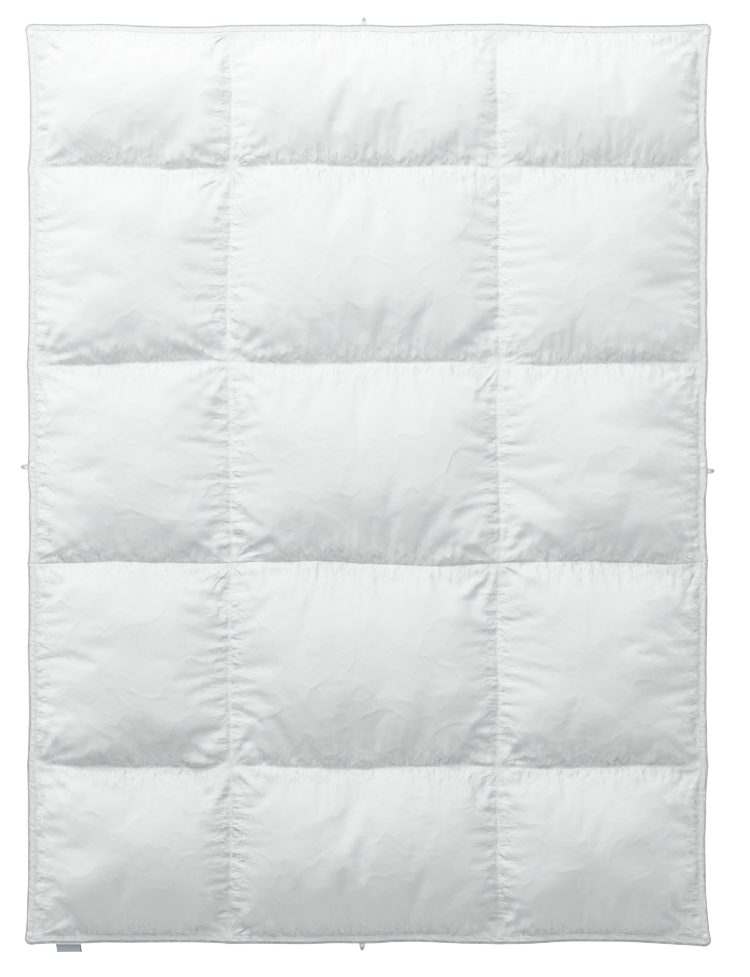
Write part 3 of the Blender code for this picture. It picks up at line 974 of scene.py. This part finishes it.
class DUVET_OT_stitching(bpy.types.Operator):
    """Sew the rows of stitches along the seams and both sides of the band"""

    bl_idname = "duvet.stitching"
    bl_label = "Stitching"

    def execute(self, context):
        cloth, trim = context.scene.duvet_cloth, context.scene.duvet_trim
        material = thread_material(context.scene.duvet_finish)
        for half in HALVES:
            rows = [self.band_row(half, depth, cloth, trim) for depth in BAND_STITCH_DEPTHS]
            rows += self.seams(half, cloth, trim)
            mesh = joined(f"stitching_{half}", rows)
            piece = add_piece(f"stitching_{half}", mesh, material)
            bend_half(piece)
        return {"FINISHED"}

    def band_row(self, half, depth, cloth, trim):
        """A row of stitches in the band."""
        rim = Rim(half, trim.stitch / 4, cloth)
        path = rim.line(depth, 0)
        x, y = rim.pattern(np.linspace(0, 1, rim.cells + 1), depth)
        path[:, 2] = band_height(x, y, trim.ripple) + BAND_THICKNESS
        return thread("row", path, trim.thread)

    def seams(self, half, cloth, trim):
        """The stitches in the seams of a half, above and below."""
        side = HALVES[half]
        lines = [((-INNER_X, seam), (INNER_X, seam)) for seam in ROW_SEAMS
                 if side * (seam - SPLIT_Y) > 0 or (seam == SPLIT_Y and side > 0)]
        lines += [((seam, SPLIT_Y), (seam, side * INNER_Y)) for seam in COLUMN_SEAMS]
        rows = []
        for start, end in lines:
            count = round(math.dist(start, end) / trim.stitch) * 4
            x = np.linspace(start[0], end[0], count + 1)
            y = np.linspace(start[1], end[1], count + 1)
            flat = lay(x, y, cloth)
            below = np.maximum(underside_height(x, y, cloth.arch), trim.thread)
            rows.append(thread("row", np.stack([*flat, seam_height(x, y)], 1), trim.thread))
            rows.append(thread("row", np.stack([*flat, below], 1), -trim.thread))
        return rows


class DUVET_OT_studs(bpy.types.Operator):
    """Make the six press studs, each a cap above the edge and a socket below it"""

    bl_idname = "duvet.studs"
    bl_label = "Press Studs"

    def execute(self, context):
        material = stud_material(context.scene.duvet_finish)
        cloth = context.scene.duvet_cloth
        for (end, side), place in STUD_PLACES.items():
            x, y = (float(part[0]) for part in lay(*np.array(place)[:, None], cloth))
            name = f"press_stud_{end}_{side}"
            cap_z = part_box(f"stud_cap_{end}_{side}")[0].z
            socket_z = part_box(f"stud_socket_{end}_{side}")[0].z
            cap = turned("cap", CAP_PROFILE, (x, y, cap_z))
            socket = turned("socket", SOCKET_PROFILE, (x, y, socket_z))
            mesh = joined(name, [cap, socket])
            piece = add_piece(name, mesh, material)
            mesh.set_sharp_from_angle(angle=0.9)
            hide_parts(f"stud_cap_{end}_{side}", f"stud_socket_{end}_{side}")
            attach(piece, end)
        return {"FINISHED"}


class DUVET_OT_loops(bpy.types.Operator):
    """Make the tie loops: a tape folded to a point at the middle of each edge"""

    bl_idname = "duvet.loops"
    bl_label = "Tie Loops"

    def execute(self, context):
        material = loop_material(context.scene.duvet_finish)
        for end, outward in (("head", (0, 1)), ("foot", (0, -1)),
                             ("left", (-1, 0)), ("right", (1, 0))):
            name = f"loop_{end}"
            low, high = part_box(name)
            middle = (low + high) / 2
            length = abs((high - low).dot(Vector((*outward, 0))))
            root = Vector((middle.x, middle.y)) - Vector(outward) * length / 2
            piece = add_piece(f"tie_{name}", self.tape(name, root, outward, length, middle.z),
                              material)
            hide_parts(name)
            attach(piece, name)
        return {"FINISHED"}

    def tape(self, name, root, outward, length, height):
        """Two strands side by side, drawn to a point at the tip."""
        count, tuck, spread, cross_over = 61, 0.0034, 0.0036, 0.0005
        tip_width, strand_width, thickness = 0.0014, 0.0033, 0.0007
        t = np.linspace(-1, 1, count)
        reach = 0.88 * length + tuck
        away = reach * (1 - np.abs(t) ** 1.1)
        apart = spread * np.sign(t) * (1 - (away / reach) ** 2.4)
        out = np.array(outward)
        along = np.array([-out[1], out[0]])
        flat = np.array(root) + (away - tuck)[:, None] * out + apart[:, None] * along
        centres = np.stack([flat[:, 0], flat[:, 1], height + cross_over * t], 1)
        wide = tip_width + (strand_width - tip_width) * np.minimum(np.abs(t) * 2.5, 1)
        return tube(name, centres, wide, np.full(count, thickness), sides=16, squareness=0.6)


class DUVET_OT_label(bpy.types.Operator):
    """Make the woven label, a thin plain sheet sewn in under the foot edge"""

    bl_idname = "duvet.label"
    bl_label = "Label"

    def execute(self, context):
        low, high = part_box("label")
        size = high - low

        slant, curl, ripple, thickness = 0.0027, 0.0008, 0.0003, 0.0006

        def place(u, v):
            hang = 1 - v
            x = low.x + size.x * u + slant * hang
            y = high.y - size.y * hang * (0.97 - 0.03 * u)
            lift = curl * hang ** 2 + ripple * (1 + np.sin(9 * u)) * hang
            return np.stack([x, y, low.z + lift], 1)

        mesh = surface("woven_label", 40, 16, place, thickness)
        piece = add_piece("woven_label", mesh, label_material(context.scene.duvet_finish, high.x))
        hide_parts("label")
        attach(piece, "label")
        return {"FINISHED"}


class DUVET_OT_stage(bpy.types.Operator):
    """Make the floor, the lights and the camera straight above"""

    bl_idname = "duvet.stage"
    bl_label = "Stage"

    def execute(self, context):
        scene = context.scene
        stage = scene.duvet_stage
        floor_reach, floor_drop, far_limit = 200, 0.0006, 1000
        centre_x, centre_y, eye_lift = 0.016, -0.010, 0.004
        work = bmesh.new()
        bmesh.ops.create_grid(work, x_segments=1, y_segments=1, size=floor_reach)
        bmesh.ops.translate(work, vec=(0, 0, -floor_drop), verts=work.verts)
        mesh = bpy.data.meshes.new("floor")
        work.to_mesh(mesh)
        work.free()
        floor = bpy.data.objects.new("floor", mesh)
        scene.collection.objects.link(floor)
        paint = Paint("floor_paint", (0.9, 0.9, 0.9), 0.9)
        paint.constant("Emission Color", (1, 1, 1, 1))
        paint.constant("Emission Strength", 1.3)
        mesh.materials.append(paint.material)

        world = bpy.data.worlds.new("studio")
        scene.world = world
        world.use_nodes = True
        sky = world.node_tree.nodes["Background"]
        sky.inputs["Color"].default_value = (1, 1, 1, 1)
        sky.inputs["Strength"].default_value = stage.sky
        self.lamp("key_lamp", (-1.6, 3.4, 2.2), (0, 0, 0), stage.key, 1.6)
        self.lamp("top_lamp", (0, 1.9, 4.2), (0, 0.7, 0), stage.top, 3.0)

        camera = bpy.data.objects.new("camera", bpy.data.cameras.new("camera"))
        scene.collection.objects.link(camera)
        scene.camera = camera
        camera.data.lens = stage.lens
        camera.data.sensor_width = 36
        spread = camera.data.sensor_width / camera.data.lens
        camera.location = (centre_x, centre_y, stage.view_height / spread + eye_lift)
        camera.data.clip_end = far_limit
        self.soften_highlights(scene.view_settings)
        return {"FINISHED"}

    def soften_highlights(self, view):
        """Roll bright tones off gently below white, so that white cloth keeps its shading."""
        view.view_transform = "Standard"
        view.use_curve_mapping = True
        mapping = view.curve_mapping
        mapping.white_level = (1.6, 1.6, 1.6)
        for light, shown in HIGHLIGHT_CURVE:
            mapping.curves[3].points.new(light, shown)
        mapping.update()

    def lamp(self, name, place, target, power, size):
        """A square soft lamp that looks at a point."""
        data = bpy.data.lights.new(name, "AREA")
        data.energy = power
        data.size = size
        lamp = bpy.data.objects.new(name, data)
        bpy.context.scene.collection.objects.link(lamp)
        lamp.location = place
        aim = Vector(target) - Vector(place)
        lamp.rotation_euler = aim.to_track_quat("-Z", "Y").to_euler()


STEPS = (DUVET_OT_stage, DUVET_OT_quilt, DUVET_OT_band, DUVET_OT_piping, DUVET_OT_stitching,
         DUVET_OT_studs, DUVET_OT_loops, DUVET_OT_label)


class DUVET_PT_panel(bpy.types.Panel):
    """The steps that build the duvet, and their settings"""

    bl_idname = "DUVET_PT_panel"
    bl_label = "Down Duvet"
    bl_space_type = "VIEW_3D"
    bl_region_type = "UI"
    bl_category = "Duvet"

    def draw(self, context):
        for step in STEPS:
            self.layout.operator(step.bl_idname)
        for group in (context.scene.duvet_cloth, context.scene.duvet_trim,
                      context.scene.duvet_finish, context.scene.duvet_stage):
            box = self.layout.box()
            for name in group.__annotations__:
                box.prop(group, name)


GROUPS = {
    "duvet_cloth": DuvetCloth,
    "duvet_trim": DuvetTrim,
    "duvet_finish": DuvetFinish,
    "duvet_stage": DuvetStage,
}


def register():
    """Register the settings, the steps and the panel."""
    for name, group in GROUPS.items():
        bpy.utils.register_class(group)
        setattr(bpy.types.Scene, name, PointerProperty(type=group))
    for step in (*STEPS, DUVET_PT_panel):
        bpy.utils.register_class(step)


def unregister():
    """Take everything off again."""
    for step in reversed((*STEPS, DUVET_PT_panel)):
        bpy.utils.unregister_class(step)
    for name, group in reversed(GROUPS.items()):
        delattr(bpy.types.Scene, name)
        bpy.utils.unregister_class(group)


def main():
    """Build the duvet step by step."""
    register()
    bpy.ops.duvet.stage()
    bpy.ops.duvet.quilt()
    bpy.ops.duvet.band()
    bpy.ops.duvet.piping()
    bpy.ops.duvet.stitching()
    bpy.ops.duvet.studs()
    bpy.ops.duvet.loops()
    bpy.ops.duvet.label()


if __name__ == "__main__":
    main()
